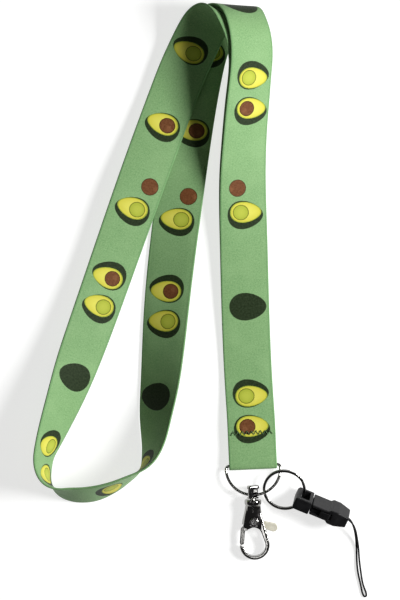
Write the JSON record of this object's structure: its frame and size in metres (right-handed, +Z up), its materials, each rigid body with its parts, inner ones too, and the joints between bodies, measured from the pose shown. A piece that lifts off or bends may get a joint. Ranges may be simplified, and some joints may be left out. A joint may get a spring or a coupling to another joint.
{
  "type": "lanyard",
  "caption": "Printed webbing neck loop with a D-ring, a swivel snap hook, a split ring and a quick-release buckle on a thin phone cord, laid flat.",
  "frame": {"origin": "on the surface that the lanyard lies on, under the middle of its length and width, measured without the phone cord", "axes": "+Y along the neck loop, from the hook towards the far end where the webbing turns over; +Z up from the surface; +X towards the side on which the buckle lies"},
  "size_m": [0.1389, 0.2472, 0.0266],
  "materials": {
    "webbing": "woven polyester with a printed face, satin",
    "thread": "twisted polyester",
    "chrome": "polished nickel-chrome plate",
    "steel": "bright drawn wire",
    "plastic": "moulded black acetal, semi-matte",
    "cord": "braided polyester, matte"
  },
  "bodies": {
    "strap": {"neck_strap": "webbing", "needle_thread": "thread", "bobbin_thread": "thread"},
    "ring": {"d_ring": "chrome"},
    "eye": {"swivel_eye": "chrome"},
    "hook": {"hook_body": "chrome", "gate_rivet": "steel", "gate_spring": "steel"},
    "gate": {"gate_lever": "chrome"},
    "key_ring": {"split_ring": "steel"},
    "head": {"buckle_head": "plastic"},
    "arm_upper": {"release_arm_upper": "plastic"},
    "arm_lower": {"release_arm_lower": "plastic"},
    "socket": {"buckle_socket": "plastic", "cord_knot": "cord", "phone_cord": "cord"}
  },
  "joints": [
    {"name": "d_ring_swing", "type": "hinge", "parent": "strap", "child": "ring", "pos_m": [0.02511, -0.07597, 0.0025], "axis": [-0.999, -0.0436, 0], "range_deg": [-60, 75]},
    {"name": "eye_swing", "type": "hinge", "parent": "ring", "child": "eye", "pos_m": [0.02505, -0.08834, 0.00435], "axis": [-1, -0.0005, -0.0064], "range_deg": [-45, 70]},
    {"name": "hook_swivel", "type": "hinge", "parent": "eye", "child": "hook", "pos_m": [0.02505, -0.08834, 0.00435], "axis": [-0.001, 0.9972, 0.0751], "continuous": true},
    {"name": "gate_open", "type": "hinge", "parent": "hook", "child": "gate", "pos_m": [0.02556, -0.09931, 0.00352], "axis": [-0.0064, -0.0751, 0.9972], "range_deg": [0, 25], "stiffness_Nm_per_rad": 0.004, "springref_deg": -20.05, "deforming": ["gate_spring"]},
    {"name": "split_ring_swing", "type": "hinge", "parent": "ring", "child": "key_ring", "pos_m": [0.02913, -0.08777, 0.00429], "axis": [0.5934, 0.7966, -0.1151], "range_deg": [-30, 45]},
    {"name": "buckle_swing", "type": "hinge", "parent": "key_ring", "child": "head", "pos_m": [0.04602, -0.08941, 0.00394], "axis": [0.3496, 0.844, 0.4067], "range_deg": [-30, 75]},
    {"name": "arm_upper_squeeze", "type": "hinge", "parent": "head", "child": "arm_upper", "pos_m": [0.04903, -0.09312, 0.00906], "axis": [0.3496, 0.844, 0.4067], "range_deg": [0, 6], "stiffness_Nm_per_rad": 0.02, "springref_deg": -2.86},
    {"name": "arm_lower_squeeze", "type": "hinge", "parent": "head", "child": "arm_lower", "pos_m": [0.05005, -0.09064, 0.00303], "axis": [0.3496, 0.844, 0.4067], "range_deg": [-6, 0], "stiffness_Nm_per_rad": 0.02, "springref_deg": 2.86},
    {"name": "plug_pull", "type": "slide", "parent": "head", "child": "socket", "axis": [0.9239, -0.3827, 0], "range_m": [0, 0.012]}
  ],
  "couplings": [
    {"joint": "arm_lower_squeeze", "follows": "arm_upper_squeeze", "ratio": -1}
  ]
}
